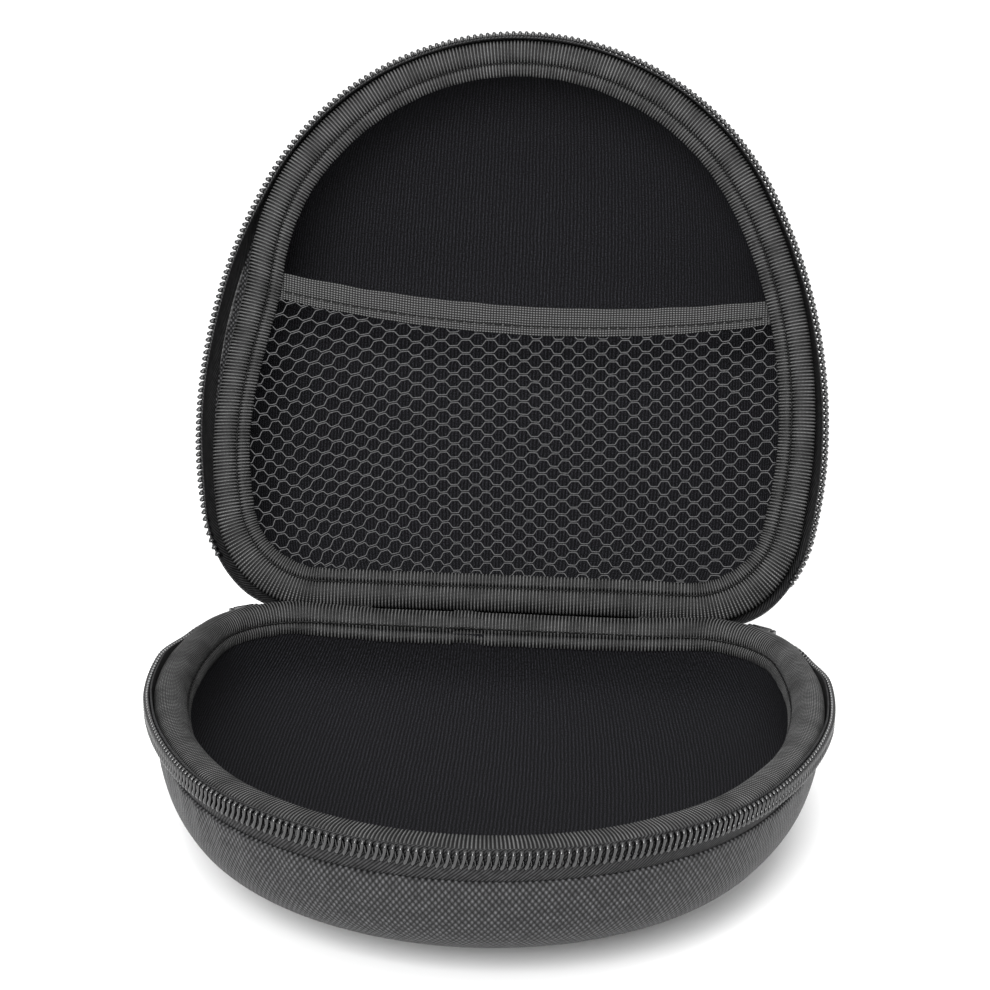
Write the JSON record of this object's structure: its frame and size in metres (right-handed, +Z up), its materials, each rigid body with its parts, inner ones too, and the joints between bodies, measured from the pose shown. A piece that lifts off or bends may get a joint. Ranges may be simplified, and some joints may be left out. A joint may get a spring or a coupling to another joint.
{
  "type": "headphone carrying case",
  "caption": "Moulded clamshell carrying case with a coil zip round its rim, a fabric hinge at the back and a net pocket in its open lid.",
  "frame": {"origin": "Middle of the base's flat bottom, on the surface it rests on.", "axes": "+Z up, -Y towards the front of the case (away from the hinge), +X to the right seen from the front. The lid is stored open at 110 degrees from shut."},
  "size_m": [0.2, 0.2887, 0.2154],
  "materials": {
    "woven_cover": "ballistic basket weave polyester",
    "foam": "moulded EVA foam, hidden",
    "knit_lining": "ribbed knit tricot lining",
    "grosgrain_binding": "ribbed polyester grosgrain",
    "sewing_thread": "bonded polyester thread",
    "zip_tape": "herringbone twill zip tape",
    "nylon_coil": "nylon coil",
    "net": "hexagonal polyester net",
    "elastic": "knitted elastic",
    "slider_metal": "satin black enamelled zinc",
    "pull_metal": "satin black enamelled zinc"
  },
  "bodies": {
    "base": {"base_outer_cover": "woven_cover", "base_foam_core": "foam", "base_lining": "knit_lining", "base_edge_binding": "grosgrain_binding", "base_seam_thread": "sewing_thread", "base_zipper_tape": "zip_tape", "base_zipper_coil": "nylon_coil", "hinge_strip": "zip_tape"},
    "lid": {"lid_outer_cover": "woven_cover", "lid_foam_core": "foam", "lid_lining": "knit_lining", "lid_edge_binding": "grosgrain_binding", "lid_seam_thread": "sewing_thread", "lid_zipper_tape": "zip_tape", "lid_zipper_coil": "nylon_coil", "pocket_mesh": "net", "pocket_elastic_band": "elastic", "pocket_elastic_thread": "sewing_thread"},
    "right_slider": {"right_slider_body": "slider_metal"},
    "left_slider": {"left_slider_body": "slider_metal"},
    "right_pull": {"right_pull_tab": "pull_metal"},
    "left_pull": {"left_pull_tab": "pull_metal"}
  },
  "joints": [
    {"name": "lid_hinge", "type": "hinge", "parent": "base", "child": "lid", "pos_m": [0, 0.095, 0.04], "axis": [-1, 0, 0], "range_deg": [-110, 40]},
    {"name": "right_slider_travel", "type": "hinge", "parent": "base", "child": "right_slider", "pos_m": [0.05907, 0.057, 0.0403], "axis": [0, 0, -1], "range_deg": [0, 33]},
    {"name": "right_pull_swing", "type": "hinge", "parent": "right_slider", "child": "right_pull", "pos_m": [0.08222, 0.09132, 0.0418], "axis": [0.829, -0.5592, 0], "range_deg": [0, 100]},
    {"name": "left_slider_travel", "type": "hinge", "parent": "base", "child": "left_slider", "pos_m": [-0.05907, 0.057, 0.0403], "axis": [0, 0, 1], "range_deg": [0, 33]},
    {"name": "left_pull_swing", "type": "hinge", "parent": "left_slider", "child": "left_pull", "pos_m": [-0.08222, 0.09132, 0.0418], "axis": [0.829, 0.5592, 0], "range_deg": [0, 100]}
  ]
}
